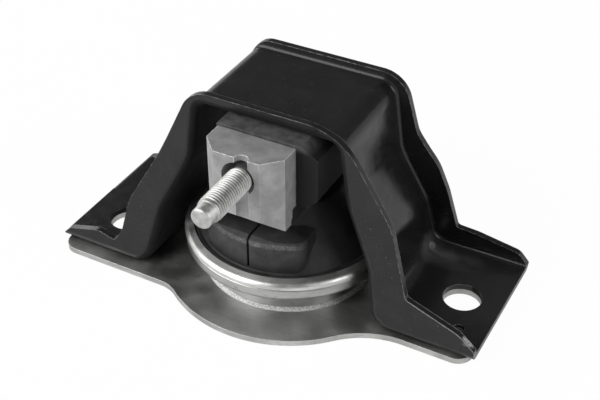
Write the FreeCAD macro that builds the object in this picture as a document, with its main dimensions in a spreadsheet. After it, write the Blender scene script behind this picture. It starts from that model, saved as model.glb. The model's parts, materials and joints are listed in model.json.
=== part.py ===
import FreeCAD, Part
import math
import os

import Sketcher

# Engine mount: a pressed arch over a rubber spring that is crimped in a steel can on a base plate.
# Frame: +Z up, origin on the axis of the can at the underside of the base plate, the stud points to -Y.

SIZES = [
    # sheet metal
    ("sheet", 3.0), ("plate_t", 3.0), ("foot_gap", 0.05), ("bend_in", 2.0), ("bend_out", 4.0),
    # base plate: a round middle that follows the can, four wing edges, a foot's outline short of the arch
    ("bulge_rim", 11.4), ("plate_in", 2.2), ("wing_lf", 48.2), ("wing_rf", 30.7), ("wing_lr", 40.0),
    ("wing_rr", 48.2), ("corner_r", 8.0), ("neck_clear", 0.1),
    # mounting holes, set in from the ends of the feet
    ("hole_r", 9.3), ("hole_in_r", 19.4), ("hole_ry", 6.5), ("hole_in_l", 22.3), ("hole_ly", 17.8),
    ("pip_r", 2.4), ("pip_rise", 1.8), ("pip_clear", 0.3), ("pip_in", 13.0), ("pip_y", 14.4),
    # arch: its roof clears the jacket, its legs clear the can
    ("arch_end", 108.2), ("arch_front", 24.0), ("arch_rear", 34.0), ("top_room", 0.6), ("side_room", 5.0),
    ("roof_r", 5.5), ("kink_z", 62.0), ("knee_out", 4.6), ("shin_room", 1.2), ("shin_z", 33.0),
    ("heel_room", 5.6), ("heel_r", 11.0), ("front_up", 6.7), ("rear_up", 7.4), ("rim_skin", 0.08),
    ("splay_lf", 0.337), ("splay_rf", 0.096), ("splay_rr", 0.21), ("splay_lr", 0.07),
    # can
    ("neck_r", 41.3), ("can_t", 1.6), ("shoulder_z", 16.6), ("band_r", 51.4), ("groove_deep", 0.7),
    ("bead_out", 0.4), ("lip_over", 4.4), ("lip_z", 27.4), ("crimp_h", 4.3), ("vent_r", 2.5),
    ("vent_x", 16.0),
    # clamped stack
    ("fit_gap", 0.05), ("rim_clear", 0.1), ("hub_clear", 0.3), ("low_t", 1.9), ("up_t", 1.7),
    ("hub_deep", 5.75), ("well_r", 16.0), ("well_deep", 2.4), ("disc_clear", 0.35), ("dome_h", 1.2),
    ("track_wall", 4.4), ("track_w", 7.0), ("track_deep", 3.2), ("dam_w", 5.0), ("port_y", 6.5),
    ("port_r", 2.2), ("grid_pcd", 8.0), ("grid_r", 2.4), ("bond_show", 0.8),
    # rivets of the track plates
    ("rivet_in", 6.0), ("rivet_r", 1.55), ("rivet_head", 2.6), ("head_t", 1.25), ("rivet_clear", 0.05),
    ("upset_r", 2.3), ("upset_t", 1.05),
    # bellows
    ("ring_w", 2.2), ("ring_t", 1.2), ("bellows_t", 1.1), ("fold_up", 3.0), ("fold_down", 7.8),
    ("fold_r", 2.5), ("fold_w", 5.5), ("fold_run", 5.0),
    # rubber
    ("bond", 0.02), ("cone_top_r", 26.5), ("cone_out", 4.5), ("roof_t", 2.0), ("pad_clear", 3.4),
    ("pad_z", 45.0), ("pad_half", 26.0), ("pad_back", 24.0), ("pad_round", 6.0), ("pad_flat", 2.7),
    ("slit", 1.2), ("slit_x", 1.0), ("slit_deep", 17.0),
    # core
    ("core_w", 19.5), ("core_face", 49.0), ("core_cut", 8.3), ("face_w", 11.5), ("core_rear", 26.0),
    ("core_low", 53.0), ("core_top", 91.4), ("bevel_up", 7.4), ("boss_r", 19.7), ("boss_tip", 14.0),
    ("boss_low", 33.0), ("groove_half", 3.3),
    # stud
    ("stud_r", 6.0), ("shank_r", 5.6), ("stud_x", 2.0), ("stud_down", 10.6), ("stud_out", 32.0),
    ("dog_r", 5.1), ("dog_len", 5.5), ("bore_r", 8.2), ("bore_deep", 14.0), ("collar_r", 7.2),
    ("collar_len", 22.0),
    # travel stop jacket
    ("jack_side", 10.9), ("jack_low", 60.0), ("jack_over", 1.6), ("jack_front", 31.0), ("jack_back", 4.0),
    ("jack_clear", 0.1),
]


class Size:
    """A length with its value and the expression that gives it."""

    def __init__(self, value, text):
        self.v, self.text = float(value), text

    def _join(self, other, value, sign, flip=False):
        o = other if isinstance(other, Size) else Size(other, repr(float(other)))
        a, b = (o, self) if flip else (self, o)
        return Size(value(a.v, b.v), "(%s %s %s)" % (a.text, sign, b.text))

    def __add__(self, o):
        return self._join(o, lambda a, b: a + b, "+")

    def __radd__(self, o):
        return self._join(o, lambda a, b: a + b, "+", True)

    def __sub__(self, o):
        return self._join(o, lambda a, b: a - b, "-")

    def __rsub__(self, o):
        return self._join(o, lambda a, b: a - b, "-", True)

    def __mul__(self, o):
        return self._join(o, lambda a, b: a * b, "*")

    def __rmul__(self, o):
        return self._join(o, lambda a, b: a * b, "*", True)

    def __neg__(self):
        return self * -1.0


V = FreeCAD.Vector
doc = FreeCAD.newDocument("engine_mount")
sheet = doc.addObject("Spreadsheet::Sheet", "Dims")
S = {}
for row, (word, value) in enumerate(SIZES, start=1):
    sheet.set("A%d" % row, word)
    sheet.set("B%d" % row, str(value))
    sheet.setAlias("B%d" % row, word)
    S[word] = Size(value, "Dims." + word)
doc.recompute()


def val(q):
    return q.v if isinstance(q, Size) else float(q)


def sized(q):
    return q if isinstance(q, Size) else Size(q, repr(float(q)))


def mirror(points):
    """The other half of a profile drawn from its middle outwards, as one run from left to right."""
    return [(-sized(p[0]),) + tuple(p[1:]) for p in reversed(points)]


def body(name):
    b = doc.addObject("PartDesign::Body", name)
    b.Label = name
    return b


def on_plane(b, name, role, offset=0.0):
    """A sketch on one of the body's own origin planes."""
    sk = b.newObject("Sketcher::SketchObject", name)
    plane = [f for f in b.Origin.OriginFeatures if f.Role == role][0]
    sk.AttachmentSupport = [(plane, "")]
    sk.MapMode = "FlatFace"
    if isinstance(offset, Size):
        sk.setExpression("AttachmentOffset.Base.z", offset.text)
    sk.AttachmentOffset = FreeCAD.Placement(V(0, 0, val(offset)), FreeCAD.Rotation())
    return sk


def bind(sk, kind, args, q):
    """A driving dimension of a sketch, tied to its expression."""
    if isinstance(q, Size):
        i = sk.addConstraint(Sketcher.Constraint(kind, *args, q.v))
        sk.setExpression("Constraints[%d]" % i, q.text)
    else:
        sk.addConstraint(Sketcher.Constraint(kind, *args, float(q)))


def pin_point(sk, geo, pos, x, y):
    for kind, q, axis in (("DistanceX", x, -2), ("DistanceY", y, -1)):
        if abs(val(q)) < 1e-9:
            sk.addConstraint(Sketcher.Constraint("PointOnObject", geo, pos, axis))
        else:
            bind(sk, kind, (-1, 1, geo, pos), q)


def bow(start, mid, stop):
    """The arc through three points, always drawn anticlockwise as sketches keep it."""
    c = Part.Arc(start, mid, stop).toShape().Curve
    centre = c.Center
    a = [math.atan2((p - centre).y, (p - centre).x) for p in (start, mid, stop)]
    if (a[1] - a[0]) % (2 * math.pi) > (a[2] - a[0]) % (2 * math.pi):
        a = [a[2], a[1], a[0]]
    while a[2] <= a[0]:
        a[2] += 2 * math.pi
    circle = Part.Circle(centre, V(0, 0, 1), c.Radius)
    return Part.ArcOfCircle(circle, a[0], a[2])


def outline(sk, corners):
    """A closed outline through corners (x, y) or (x, y, radius), every corner held by its sizes."""
    n = len(corners)
    pts = [V(val(c[0]), val(c[1]), 0) for c in corners]
    rads = [val(c[2]) if len(c) > 2 else 0.0 for c in corners]
    ends = []
    for i, p in enumerate(pts):
        a, b = pts[i - 1] - p, pts[(i + 1) % n] - p
        a.normalize()
        b.normalize()
        if rads[i]:
            half = math.acos(max(-1.0, min(1.0, a.dot(b)))) / 2
            cut = rads[i] / math.tan(half)
            mid = a + b
            mid.normalize()
            centre = p + mid * (rads[i] / math.sin(half))
            ends.append((p + a * cut, p + b * cut, centre))
        else:
            ends.append((p, p, None))
    lines = [sk.addGeometry(Part.LineSegment(ends[i][1], ends[(i + 1) % n][0]), False) for i in range(n)]
    for i in range(n):
        before, after = lines[i - 1], lines[i]
        if not rads[i]:
            sk.addConstraint(Sketcher.Constraint("Coincident", before, 2, after, 1))
            pin_point(sk, after, 1, corners[i][0], corners[i][1])
            continue
        start, stop, centre = ends[i]
        mid = pts[i] - centre
        mid.normalize()
        arc = sk.addGeometry(bow(start, centre + mid * rads[i], stop), False)
        made = sk.Geometry[arc]
        first, last = (1, 2) if (made.StartPoint - start).Length < 1e-5 else (2, 1)
        sk.addConstraint(Sketcher.Constraint("Tangent", before, 2, arc, first))
        sk.addConstraint(Sketcher.Constraint("Tangent", arc, last, after, 1))
        bind(sk, "Radius", (arc,), corners[i][2])
        dot = sk.addGeometry(Part.Point(pts[i]), True)
        pin_point(sk, dot, 1, corners[i][0], corners[i][1])
        sk.addConstraint(Sketcher.Constraint("PointOnObject", dot, 1, before))
        sk.addConstraint(Sketcher.Constraint("PointOnObject", dot, 1, after))


def disc(sk, x, y, r):
    g = sk.addGeometry(Part.Circle(V(val(x), val(y), 0), V(0, 0, 1), val(r)), False)
    pin_point(sk, g, 3, x, y)
    bind(sk, "Radius", (g,), r)


def extrude(b, kind, sk, length, back=None, flip=False):
    """A Pad or Pocket of a sketch; back gives it a second length on the other side of the plane."""
    f = b.newObject("PartDesign::" + kind, sk.Name + kind)
    f.Profile = sk
    f.Reversed = flip
    f.Length = val(length)
    if isinstance(length, Size):
        f.setExpression("Length", length.text)
    if back is not None:
        if "SideType" in f.PropertiesList:
            f.SideType = "Two sides"
        else:
            f.Type = "TwoLengths"
        f.Length2 = val(back)
        if isinstance(back, Size):
            f.setExpression("Length2", back.text)
    sk.Visibility = False
    doc.recompute()
    return f


def spin(b, sk, axis="V_Axis", kind="Revolution"):
    f = b.newObject("PartDesign::" + kind, sk.Name + kind)
    f.Profile = sk
    f.ReferenceAxis = (sk, [axis])
    f.Angle = 360.0
    sk.Visibility = False
    doc.recompute()
    return f


def axis_line(sk, x):
    """A construction line at x, parallel to the sketch's upright axis, that a section turns about."""
    g = sk.addGeometry(Part.LineSegment(V(val(x), -100, 0), V(val(x), 100, 0)), True)
    pin_point(sk, g, 1, x, -100.0)
    pin_point(sk, g, 2, x, 100.0)


def turned(name, corners):
    """A piece turned about the Z axis from its half section (r, z)."""
    b = body(name)
    sk = on_plane(b, name + "_section", "XZ_Plane")
    outline(sk, corners)
    spin(b, sk)
    return b


# ---------------------------------------------------------------- base plate
plate = body("base_plate")
bulge = S["band_r"] + S["bulge_rim"]
plate_end = S["arch_end"] - S["plate_in"]
HOLES = (
    (S["arch_end"] - S["hole_in_r"], S["hole_ry"]), (-(S["arch_end"] - S["hole_in_l"]), -S["hole_ly"]),
)
PIPS = ((S["arch_end"] - S["pip_in"], -S["pip_y"]), (-(S["arch_end"] - S["pip_in"]), S["pip_y"]))


def wing_corner(sign_x, y, blend):
    """Where the blend between a wing's edge and the round bulge would have its corner."""
    out = bulge.v + blend
    cy = abs(val(y)) + blend
    cx = math.sqrt(out * out - cy * cy)
    side = 1.0 if val(y) > 0 else -1.0
    on_line = V(sign_x * cx, val(y), 0)
    centre = V(sign_x * cx, side * cy, 0)
    on_disc = centre * (bulge.v / out)
    mid = (on_line + on_disc) * 0.5 - centre
    mid.normalize()
    return on_line, centre + mid * blend, on_disc


def plate_wire():
    """Outline of the plate: a round middle, four wing edges at their own depths, blends between."""
    e, c = plate_end.v, S["corner_r"].v
    lf, rf = wing_corner(-1, -S["wing_lf"], 18.0), wing_corner(1, -S["wing_rf"], 40.0)
    lr, rr = wing_corner(-1, S["wing_lr"], 30.0), wing_corner(1, S["wing_rr"], 18.0)
    k = c * (1 - math.sqrt(0.5))
    r = bulge.v

    def corner(sx, y, sy):
        return V(sx * (e - c), y, 0), V(sx * (e - k), y - sy * k, 0), V(sx * e, y - sy * c, 0)

    fl, fr = corner(-1, -S["wing_lf"].v, -1), corner(1, -S["wing_rf"].v, -1)
    bl, br = corner(-1, S["wing_lr"].v, 1), corner(1, S["wing_rr"].v, 1)
    arc, line = bow, Part.LineSegment
    return [
        arc(fl[2], fl[1], fl[0]), line(fl[0], lf[0]), arc(lf[0], lf[1], lf[2]),
        arc(lf[2], V(0, -r, 0), rf[2]),
        arc(rf[2], rf[1], rf[0]), line(rf[0], fr[0]), arc(fr[0], fr[1], fr[2]), line(fr[2], br[2]),
        arc(br[2], br[1], br[0]), line(br[0], rr[0]), arc(rr[0], rr[1], rr[2]), arc(rr[2], V(0, r, 0), lr[2]),
        arc(lr[2], lr[1], lr[0]), line(lr[0], bl[0]), arc(bl[0], bl[1], bl[2]), line(bl[2], fl[2]),
    ]


sk = on_plane(plate, "plate_outline", "XY_Plane")
for edge in plate_wire():
    sk.addGeometry(edge, False)
disc(sk, 0, 0, S["neck_r"] + S["neck_clear"])
for x, y in HOLES:
    disc(sk, x, y, S["hole_r"])
extrude(plate, "Pad", sk, S["plate_t"])
sk = on_plane(plate, "pips", "XY_Plane", S["plate_t"] - 0.5)
for x, y in PIPS:
    disc(sk, x, y, S["pip_r"])
extrude(plate, "Pad", sk, S["pip_rise"] + 0.5)

# ---------------------------------------------------------------- arch
arch = body("arch")
foot_z = S["plate_t"] + S["foot_gap"]
floor = foot_z + S["sheet"]                 # the upper face of the feet
jack_w, jack_top = S["core_w"] + S["jack_side"], S["core_top"] + S["jack_over"]
roof_x, roof_z = jack_w + S["side_room"], jack_top + S["top_room"]
knee_x = roof_x + S["knee_out"]
heel_x = S["band_r"] + S["heel_room"]
under = [  # the arch's underside from the middle of the roof to the foot's end
    (roof_x, roof_z, S["roof_r"]), (knee_x, S["kink_z"], 30.0),
    (S["band_r"] + S["shin_room"], S["shin_z"], 30.0), (heel_x, foot_z, S["heel_r"]), (S["arch_end"], foot_z),
]


def shifted(points, by):
    """The same run of corners moved outwards by a sheet's thickness, corner by corner."""
    out = []
    p = [V(-val(points[0][0]), val(points[0][1]), 0)]
    p += [V(val(q[0]), val(q[1]), 0) for q in points]
    for i in range(1, len(p)):
        d1 = (p[i] - p[i - 1]).normalize()
        n1 = V(-d1.y, d1.x, 0)
        if i + 1 < len(p):
            d2 = (p[i + 1] - p[i]).normalize()
            n2 = V(-d2.y, d2.x, 0)
            m = (n1 + n2).normalize()
            m = m * (1.0 / m.dot(n1))
        else:
            m = n1
        q = points[i - 1]
        moved = (sized(q[0]) + by * m.x, sized(q[1]) + by * m.y)
        if len(q) > 2:
            turn = d1.x * (p[i + 1] - p[i]).y - d1.y * (p[i + 1] - p[i]).x
            moved += ((sized(q[2]) - by) if turn > 0 else (sized(q[2]) + by),)
        out.append(moved)
    return out


def wall(y, splay, side, skin=None):
    """Section (y, z) of a rim's sheet, which leans outwards below the knee, or of all the room outside it."""
    top, low, kink = 120.0, -20.0, S["kink_z"]
    ys, yl = y * side, (y + (kink - low) * splay) * side
    if skin is None:
        return [(ys, top), (ys, kink, 60.0), (yl, low), (side * 90.0, low), (side * 90.0, top)]
    return [(ys, top), (ys, kink, 60.0), (yl, low), (yl - skin * side, low),
            (ys - skin * side, kink, 60.0), (ys - skin * side, top)]


QUARTERS = [
    ("lf", -1, -1, S["arch_front"], S["splay_lf"]), ("rf", 1, -1, S["arch_front"], S["splay_rf"]),
    ("lr", -1, 1, S["arch_rear"], S["splay_lr"]), ("rr", 1, 1, S["arch_rear"], S["splay_rr"]),
]
for tag, sx, sy, y, splay in QUARTERS:
    sk = on_plane(arch, "rim_" + tag, "YZ_Plane")
    outline(sk, wall(y, splay, sy, S["sheet"] + S["rim_skin"]))
    extrude(arch, "Pad", sk, S["arch_end"], flip=sx < 0)

# the space under the arch, from floor to roof, right through
sk = on_plane(arch, "under_arch", "XZ_Plane")
outline(sk, mirror(under) + under + [(S["arch_end"], -30.0), (-S["arch_end"], -30.0)])
extrude(arch, "Pocket", sk, 100.0, back=100.0)

# the web: one sheet that runs foot, leg, roof, leg, foot
over = shifted(under, S["sheet"])
sk = on_plane(arch, "web", "XZ_Plane")
outline(sk, mirror(under) + under + list(reversed(over)) + list(reversed(mirror(over))))
extrude(arch, "Pad", sk, 80.0, back=80.0)
for tag, sx, sy, y, splay in QUARTERS:
    sk = on_plane(arch, "outside_" + tag, "YZ_Plane")
    outline(sk, wall(y, splay, sy))
    extrude(arch, "Pocket", sk, S["arch_end"] + 1.0, flip=sx > 0)


def flat_points(edge):
    """Points along an edge, dropped onto the XZ plane."""
    a, b = edge.ParameterRange
    ps = [edge.valueAt(a + (b - a) * k / 4.0) for k in range(5)]
    return [Part.Vertex(V(p.x, 0, p.z)) for p in ps]


def bends(b, radius, keep):
    """Round every edge that keep() picks, as one fillet."""
    base = b.Tip
    names = ["Edge%d" % i for i, e in enumerate(base.Shape.Edges, start=1) if keep(e)]
    f = b.newObject("PartDesign::Fillet", "bend")
    f.Base = (base, names)
    f.Radius = val(radius)
    f.setExpression("Radius", radius.text)
    doc.recompute()
    return f


under_wire = doc.getObject("under_arch").Shape
web_wire = doc.getObject("web").Shape


def runs_along(edge, wire):
    ps = flat_points(edge)
    if ps[0].distToShape(ps[4])[0] < 0.05 and ps[0].distToShape(ps[2])[0] < 0.05:
        return False
    return all(p.distToShape(wire)[0] < 0.01 for p in ps)


def outer_bend(edge):
    return runs_along(edge, under_wire) and edge.BoundBox.ZMax > foot_z.v - 0.01


def inner_bend(edge):
    return runs_along(edge, web_wire) and not runs_along(edge, under_wire)


bends(arch, S["bend_out"], outer_bend)
bends(arch, S["bend_in"], inner_bend)

# cut the rims back to their edges: each run goes outwards from the roof, by corners set off from a place
# on the arch (place, x off, z off, radius)
PLACES = {
    "front": (roof_x, roof_z + S["front_up"]), "rear": (roof_x, roof_z + S["rear_up"]),
    "knee": (knee_x, S["kink_z"]), "heel": (heel_x, floor), "toe": ((heel_x + S["arch_end"]) * 0.5, floor),
    "end": (S["arch_end"], floor),
}
RIMS = {
    "rf": [("front", 1.3, 0.0, 30.0), ("knee", 23.5, -4.5, 25.0), ("heel", 16.3, 18.55, 2.5),
           ("toe", 17.4, 9.45, 14.0), ("end", 0.5, 2.55)],
    "lf": [("front", 3.0, 0.0, 16.0), ("knee", 19.0, -4.0, 30.0), ("heel", 14.8, 26.95, 20.0),
           ("heel", 16.9, 11.15, 7.0), ("heel", 20.6, 5.25, 1.5), ("toe", 5.4, 7.25, 12.0),
           ("end", -3.4, 3.35, 3.0), ("end", 0.5, -0.65)],
    "rr": [("rear", 6.8, 0.0, 15.0), ("knee", 10.3, 11.0, 14.0), ("knee", 21.5, -4.0, 25.0),
           ("heel", 9.5, 35.95, 35.0), ("heel", 14.2, 12.35, 2.0), ("toe", -0.6, 11.55, 20.0),
           ("end", -4.7, 7.25, 5.0), ("end", 0.5, -0.05)],
    "lr": [("rear", -0.9, 0.0, 11.0), ("knee", 4.5, 9.5, 12.0), ("knee", 21.0, -6.0, 20.0),
           ("heel", 15.3, 11.95, 2.0), ("toe", 7.4, 8.45, 10.0), ("end", -8.2, 2.45, 6.0),
           ("end", 0.5, -0.55)],
}


def rim_run(tag):
    return [(PLACES[c[0]][0] + c[1], PLACES[c[0]][1] + c[2]) + c[3:] for c in RIMS[tag]]


wide, high = S["arch_end"] + 10.0, roof_z + 30.0
for side in ("f", "r"):
    left, right = mirror(rim_run("l" + side)), rim_run("r" + side)
    sk = on_plane(arch, "edge_front" if side == "f" else "edge_rear", "XZ_Plane")
    outline(sk, left + right + [(wide, right[-1][1]), (wide, high), (-wide, high), (-wide, left[0][1])])
    extrude(arch, "Pocket", sk, 95.0, flip=side == "f")

# holes through the feet
sk = on_plane(arch, "foot_holes", "XY_Plane", foot_z + S["sheet"] + 1.0)
for places, r in ((HOLES, S["hole_r"]), (PIPS, S["pip_r"] + S["pip_clear"])):
    for x, y in places:
        disc(sk, x, y, r)
extrude(arch, "Pocket", sk, S["sheet"] + 2.0)

# ---------------------------------------------------------------- can and what it clamps
t = S["can_t"]
gap = S["fit_gap"]
band, groove = S["band_r"], S["band_r"] - S["groove_deep"]
bead = band + S["bead_out"]
lip_r, lip_z = bead - S["lip_over"], S["lip_z"]
bond_in = lip_r - S["bond_show"]            # the bonded ring's bore, just short of the lip
inside = S["neck_r"] - t                    # the neck's bore
seat = S["shoulder_z"] + t                  # the can's step, which carries the stack
crimp = S["lip_z"] - S["crimp_h"]           # the middle of the rolled groove
can = turned("can", [
    (0, 0), (S["neck_r"], 0, 1.2), (S["neck_r"], S["shoulder_z"], 2.2), (band, S["shoulder_z"], 2.6),
    (band, crimp - 0.5), (groove, crimp), (bead, crimp + 0.7), (bead, lip_z - 1.4, 2.8), (lip_r, lip_z),
    (lip_r + 0.2, lip_z - t), (bead - t, lip_z - 2.5, 1.2), (bead - t, crimp + 0.7), (groove - t, crimp),
    (band - t, crimp - 0.6), (band - t, seat, 1.0), (inside, seat, 2.5), (inside, t), (0, t),
])
sk = on_plane(can, "vent", "XY_Plane", t + 1.0)
disc(sk, S["vent_x"], 0, S["vent_r"])
extrude(can, "Pocket", sk, t + 2.0)

rim = groove - t - S["rim_clear"]           # the rim of every clamped plate
hub = inside - S["hub_clear"]               # what stands in the neck
low_top = seat + gap + S["low_t"]
hub_low = low_top - S["hub_deep"]
well = low_top - S["well_deep"]             # floor of the decoupler's room
up_low = low_top + gap
up_top = up_low + S["up_t"]
dome = up_top + S["dome_h"]
track_out = hub - S["track_wall"]
track_in = track_out - S["track_w"]
track_mid = (track_in + track_out) * 0.5
rivet_x = track_in - S["rivet_in"]
half_dam = S["dam_w"] * 0.5
through = S["hub_deep"] + 2.0
low = turned("track_plate_lower", [
    (0, hub_low), (hub, hub_low), (hub, seat + gap), (rim - 0.8, seat + gap), (rim, seat + gap + 0.8),
    (rim, low_top), (S["well_r"], low_top), (S["well_r"], well), (0, well),
])
sk = on_plane(low, "track", "XY_Plane", low_top)
disc(sk, 0, 0, track_out)
disc(sk, 0, 0, track_in)
extrude(low, "Pocket", sk, S["track_deep"])
sk = on_plane(low, "dam", "XY_Plane", low_top - S["track_deep"])
dam_in, dam_out = track_in - 1.0, track_out + 1.0
outline(sk, [(dam_in, -half_dam), (dam_out, -half_dam), (dam_out, half_dam), (dam_in, half_dam)])
extrude(low, "Pad", sk, S["track_deep"])
sk = on_plane(low, "port", "XY_Plane", low_top)
disc(sk, track_mid, S["port_y"], S["port_r"])
extrude(low, "Pocket", sk, through)


def ring_of_holes(b, name, count, x, r, z, deep):
    """One hole cut through, then repeated around the axis."""
    sk = on_plane(b, name, "XY_Plane", z)
    disc(sk, x, 0, r)
    repeat(b, extrude(b, "Pocket", sk, deep), sk, "N_Axis", count)


def repeat(b, feature, sk, axis, count):
    p = b.newObject("PartDesign::PolarPattern", feature.Name + "_round")
    p.Originals = [feature]
    p.Axis = (sk, [axis])
    p.Angle = 360.0
    p.Occurrences = count
    b.Tip = p
    doc.recompute()


up = turned("track_plate_upper", [
    (0, up_low), (rim, up_low), (rim, up_top), (S["well_r"] + 3.0, up_top), (S["well_r"] + 0.5, dome),
    (0, dome),
])
sk = on_plane(up, "up_port", "XY_Plane", dome)
disc(sk, track_mid, -S["port_y"], S["port_r"])
extrude(up, "Pocket", sk, through)
for b, word, z in ((low, "low", low_top), (up, "up", dome)):
    ring_of_holes(b, word + "_grid", 6, S["grid_pcd"], S["grid_r"], z, through)
    ring_of_holes(b, word + "_rivet_hole", 3, rivet_x, S["rivet_r"] + S["rivet_clear"], z, through)
free = S["disc_clear"]
disc_r, disc_low, disc_top = S["well_r"] - free, well + free, low_top - free
turned("decoupler", [(0, disc_low), (disc_r, disc_low), (disc_r, disc_top), (0, disc_top)])

# rivets that hold the two track plates
rivets = body("track_rivets")
rivets.AllowCompound = True
sk = on_plane(rivets, "rivet_section", "XZ_Plane")
head_top, upset_low = hub_low - gap, up_top + gap
rx = rivet_x
outline(sk, [
    (rx, head_top - S["head_t"]), (rx + S["rivet_head"], head_top - S["head_t"]),
    (rx + S["rivet_head"], head_top), (rx + S["rivet_r"], head_top), (rx + S["rivet_r"], upset_low),
    (rx + S["upset_r"], upset_low), (rx + S["upset_r"], upset_low + S["upset_t"]),
    (rx, upset_low + S["upset_t"]),
])
axis_line(sk, rx)
repeat(rivets, spin(rivets, sk, axis="Axis0"), sk, "V_Axis", 3)

# the bellows that closes the fluid space, and the ring that holds its edge in the neck
ring_top, ring_in = hub_low - gap, hub - S["ring_w"]
ring_low = ring_top - S["ring_t"]
turned("bellows_ring", [(ring_in, ring_low), (hub, ring_low), (hub, ring_top), (ring_in, ring_top)])
edge = ring_low - gap
peak, dip, middle = edge - S["fold_up"], edge - S["fold_down"], edge - S["fold_down"] + 0.8
bt, fr, run = S["bellows_t"], S["fold_r"], S["fold_run"]
f5 = ring_in - 3.7                          # from the edge inwards: outer fold, ridge, flat middle
f4 = f5 - S["fold_w"]
f3 = f4 - run
f2 = f3 - S["fold_w"] - 0.5
f1 = f2 - run
turned("bellows", [
    (0, middle), (f1, middle, fr), (f2, peak, fr), (f3, peak, fr), (f4, dip, fr), (f5, dip, fr),
    (ring_in - 1.2, edge), (hub, edge), (hub, edge - bt), (ring_in - 0.3, edge - bt),
    (f5 + 0.8, dip - bt, fr), (f4 - 0.7, dip - bt, fr), (f3 - 0.6, peak - bt, fr),
    (f2 + 0.6, peak - bt, fr), (f1 + 0.6, middle - bt, fr), (0, middle - bt),
])

# the ring that the spring is bonded to, held down by the can's lip
bond_low = up_top + gap
bond_top = lip_z - t - S["rim_clear"]
turned("bond_ring", [
    (bond_in, bond_low), (rim, bond_low), (rim, bond_top - 0.5), (lip_r, bond_top), (bond_in, bond_top),
])

# ---------------------------------------------------------------- core
core = body("core")
stud_z = S["core_top"] - S["stud_down"]
sk = on_plane(core, "core_plan", "XY_Plane", S["core_low"])
shoulder = S["core_face"] - S["core_cut"]
outline(sk, [
    (-S["core_w"], -shoulder), (-S["face_w"], -S["core_face"]), (S["face_w"], -S["core_face"]),
    (S["core_w"], -shoulder), (S["core_w"], S["core_rear"], 3.0), (-S["core_w"], S["core_rear"], 3.0),
])
extrude(core, "Pad", sk, S["core_top"] - S["core_low"])
sk = on_plane(core, "core_boss", "XZ_Plane")
outline(sk, [
    (0, S["core_low"] + 2.0), (S["boss_r"], S["core_low"] + 2.0), (S["boss_r"], S["core_low"]),
    (S["boss_tip"], S["boss_low"], 4.0), (0, S["boss_low"]),
])
spin(core, sk)
sk = on_plane(core, "under_bevel", "YZ_Plane")
out, below = -S["core_face"] - 1.0, S["core_low"] - 1.0
outline(sk, [
    (out, below), (-shoulder, below), (-shoulder, S["core_low"]),
    (-S["core_face"], S["core_low"] + S["bevel_up"]), (out, S["core_low"] + S["bevel_up"]),
])
extrude(core, "Pocket", sk, 40.0, back=40.0)
sk = on_plane(core, "stud_bore", "XZ_Plane", S["core_face"] + 1.0)
disc(sk, S["stud_x"] - 1.2, stud_z - 0.3, S["bore_r"])
extrude(core, "Pocket", sk, S["bore_deep"] + 1.0)
sk = on_plane(core, "collar_bore", "XZ_Plane", S["core_face"] - S["bore_deep"] + 1.0)
disc(sk, S["stud_x"], stud_z, S["collar_r"])
extrude(core, "Pocket", sk, S["collar_len"] + 2.0)
sk = on_plane(core, "face_groove", "XY_Plane", S["core_top"] + 1.0)
disc(sk, S["stud_x"] + 0.6, -S["core_face"], S["groove_half"])
extrude(core, "Pocket", sk, S["core_top"] + 2.0 - S["core_low"])

# ---------------------------------------------------------------- stud
stud = body("stud")
sk = on_plane(stud, "stud_section", "XY_Plane", stud_z)
sx = S["stud_x"]
tip = -(S["core_face"] + S["stud_out"])
dog = sx + S["dog_r"]
run_out = tip + S["dog_len"]
pressed = S["collar_r"] - S["bond"]
collar_front = -(S["core_face"] - S["bore_deep"]) + 0.2
outline(sk, [
    (sx, tip), (dog - 1.0, tip), (dog, tip + 0.8), (dog, tip + 1.9), (dog - 0.3, tip + 2.1),
    (dog - 0.3, tip + 2.4), (dog - 0.1, tip + 2.6), (dog - 0.1, run_out), (sx + S["stud_r"], run_out + 0.9),
    (sx + S["stud_r"], -S["core_face"] + 0.5), (sx + S["shank_r"], -S["core_face"] + 0.9),
    (sx + S["shank_r"], collar_front), (sx + pressed, collar_front),
    (sx + pressed, collar_front + S["collar_len"]), (sx, collar_front + S["collar_len"]),
])
axis_line(sk, sx)
spin(stud, sk, axis="Axis0")

# ---------------------------------------------------------------- rubber
rubber = body("rubber_spring")
sk = on_plane(rubber, "spring_section", "XZ_Plane")
bond = S["bond"]
top_z = S["core_low"] - bond
foot_r = bond_in - bond
under_z = S["boss_low"] - S["roof_t"]
outline(sk, [
    (0, S["boss_low"] - bond), (S["boss_tip"] + bond, S["boss_low"] - bond, 4.0), (S["boss_r"] + bond, top_z),
    (S["cone_top_r"], top_z, 1.5), (S["cone_top_r"] + S["cone_out"], S["pad_z"], 12.0),
    (foot_r - 3.4, lip_z + 1.1, 3.0), (foot_r - 2.0, lip_z - 0.8, 1.0), (foot_r, lip_z - 0.4, 0.8),
    (foot_r, bond_low), (foot_r - 3.6, bond_low, 1.0), (foot_r - 10.6, bond_low + 2.6, 6.0),
    (22.0, under_z, 5.0), (0, under_z),
])
spin(rubber, sk)
sk = on_plane(rubber, "front_pad", "XY_Plane", lip_z)
pad_r = lip_r - S["pad_clear"]
half, front, back = S["pad_half"].v, pad_r.v, S["pad_back"].v
deep = math.sqrt(front ** 2 - half ** 2)
ends = [V(-half, -deep, 0), V(half, -deep, 0), V(half, -back, 0), V(-half, -back, 0)]
sk.addGeometry(bow(ends[0], V(0, -front, 0), ends[1]), False)
for i in (1, 2, 3):
    sk.addGeometry(Part.LineSegment(ends[i], ends[(i + 1) % 4]), False)
extrude(rubber, "Pad", sk, S["pad_z"] - lip_z)


def pad_end(e):
    box = e.BoundBox
    return (box.XLength < 0.01 and box.YLength < 0.01 and abs(abs(box.XMin) - half) < 0.1
            and abs(box.YMin + deep) < 0.1)


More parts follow.
